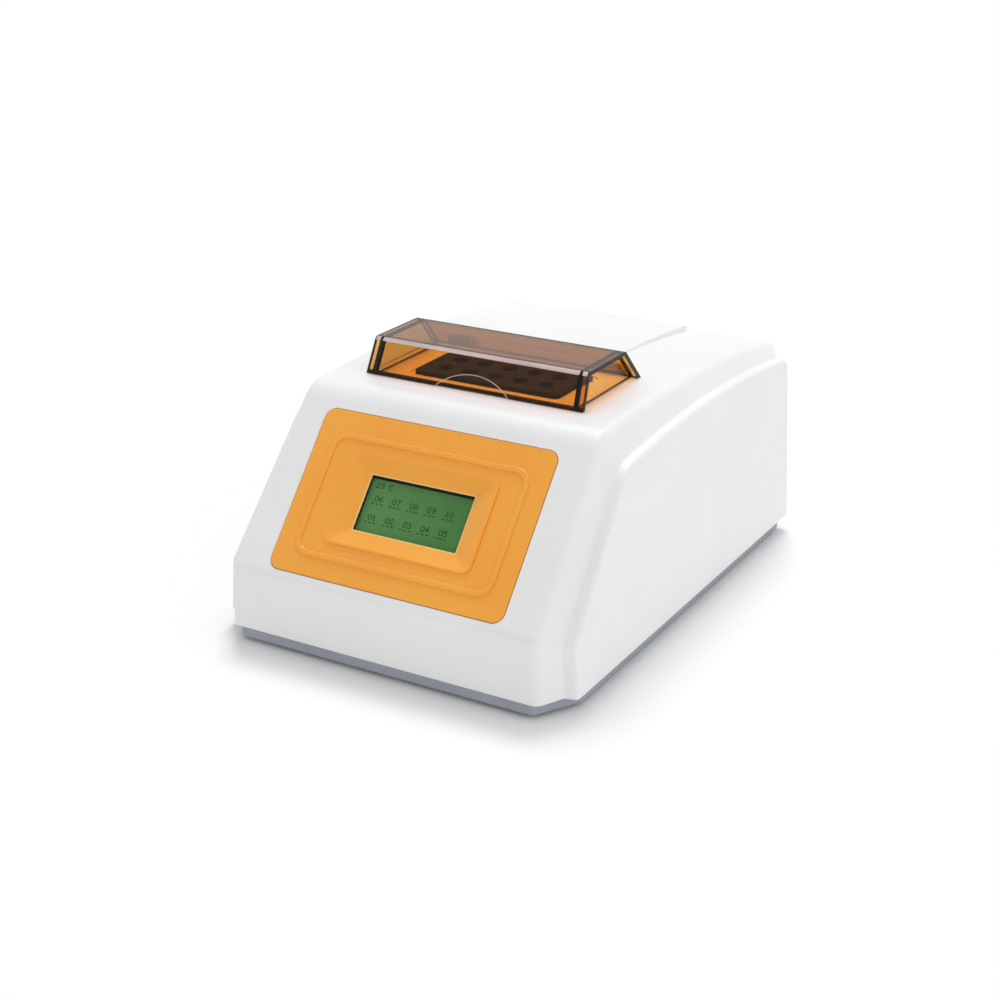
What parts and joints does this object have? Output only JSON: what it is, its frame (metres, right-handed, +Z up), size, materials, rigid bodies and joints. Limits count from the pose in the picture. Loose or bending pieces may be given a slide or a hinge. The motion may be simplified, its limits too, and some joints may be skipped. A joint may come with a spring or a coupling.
{
  "type": "erythrocyte sedimentation rate analyzer",
  "caption": "Bench instrument with a sloping display panel and a hinged see-through lid over tube places that a carriage scans from the side.",
  "frame": {"origin": "middle of the housing on the table, under the centre of its bounding box", "axes": "+X to the right seen from the front, +Y to the back, +Z up"},
  "size_m": [0.246, 0.348, 0.1695],
  "materials": {
    "aluminium_plate": "milled",
    "amber_acrylic": "polished acrylic",
    "black_plastic": "moulded",
    "black_plate": "satin",
    "bronze": "sintered",
    "cable_grey": "insulated",
    "cell": "liquid crystal cell",
    "circuit_board": "soldered board",
    "clear_pane": "polished",
    "grey_abs": "fine satin moulded",
    "light_guide": "diffuser",
    "motor_metal": "painted",
    "nylon": "moulded",
    "orange_abs": "satin moulded",
    "plated_steel": "plated",
    "rubber": "matt",
    "sheet_steel": "zinc plated sheet",
    "steel": "ground",
    "steel_screws": "zinc plated",
    "white_abs": "fine satin moulded",
    "white_nylon": "moulded"
  },
  "bodies": {
    "root": {"top_cover": "white_abs", "base_pan": "grey_abs", "feet": "rubber", "front_panel": "orange_abs", "display_window": "clear_pane", "display_bezel": "plated_steel", "display_glass": "cell", "display_backlight": "light_guide", "display_board": "circuit_board", "display_spacers": "nylon", "display_plug": "black_plastic", "hinge_brackets": "white_nylon", "hinge_pins": "steel", "sample_plate": "black_plate", "rack_head": "aluminium_plate", "tube_rack": "black_plastic", "rack_mat": "rubber", "rack_base": "aluminium_plate", "rack_columns": "aluminium_plate", "guide_rods": "steel", "home_sensor": "black_plastic", "stepper_motor": "motor_metal", "motor_bracket": "sheet_steel", "screw_bearing": "bronze", "rear_plate": "sheet_steel", "power_inlet": "black_plastic", "inlet_blades": "steel", "switch_housing": "black_plastic", "data_port": "plated_steel", "port_nuts": "steel", "main_board": "circuit_board", "board_spacers": "nylon", "board_parts": "black_plastic", "display_cable": "cable_grey", "supply_case": "sheet_steel", "supply_board": "circuit_board", "inner_leads": "cable_grey", "foot_screws": "steel_screws", "cover_screws": "steel_screws", "panel_screws": "steel_screws", "display_screws": "steel_screws", "bracket_screws": "steel_screws", "rack_screws": "steel_screws", "head_screws": "steel_screws", "motor_screws": "steel_screws", "plate_screws": "steel_screws", "board_screws": "steel_screws", "supply_screws": "steel_screws"},
    "lid_body": {"lid": "amber_acrylic"},
    "carriage_body": {"carriage": "black_plastic", "led_bars": "black_plastic", "sensor_bar": "black_plastic", "carriage_bushings": "bronze", "lead_nut": "bronze"},
    "screw_body": {"lead_screw": "steel", "motor_coupling": "aluminium_plate", "motor_shaft": "steel"},
    "rocker_body": {"switch_rocker": "black_plastic"},
    "drawer_body": {"fuse_drawer": "black_plastic", "fuse_link": "clear_pane"}
  },
  "joints": [
    {"name": "lid_hinge", "type": "hinge", "parent": "root", "child": "lid_body", "pos_m": [0, 0.0172, 0.1507], "axis": [-1, 0, 0], "range_deg": [0, 100]},
    {"name": "carriage_slide", "type": "slide", "parent": "root", "child": "carriage_body", "axis": [0, 0, 1], "range_m": [0, 0.06]},
    {"name": "lead_screw_turn", "type": "hinge", "parent": "root", "child": "screw_body", "pos_m": [0, 0.0275, 0.06], "axis": [0, 0, 1], "range_deg": [0, 2701]},
    {"name": "rocker_tilt", "type": "hinge", "parent": "root", "child": "rocker_body", "pos_m": [0, 0.1584, 0.0497], "axis": [1, 0, 0], "range_deg": [0, 16]},
    {"name": "fuse_drawer_slide", "type": "slide", "parent": "root", "child": "drawer_body", "axis": [0, 1, 0], "range_m": [0, 0.02]}
  ],
  "couplings": [
    {"joint": "lead_screw_turn", "follows": "carriage_slide", "rad_per_m": 785.4}
  ]
}
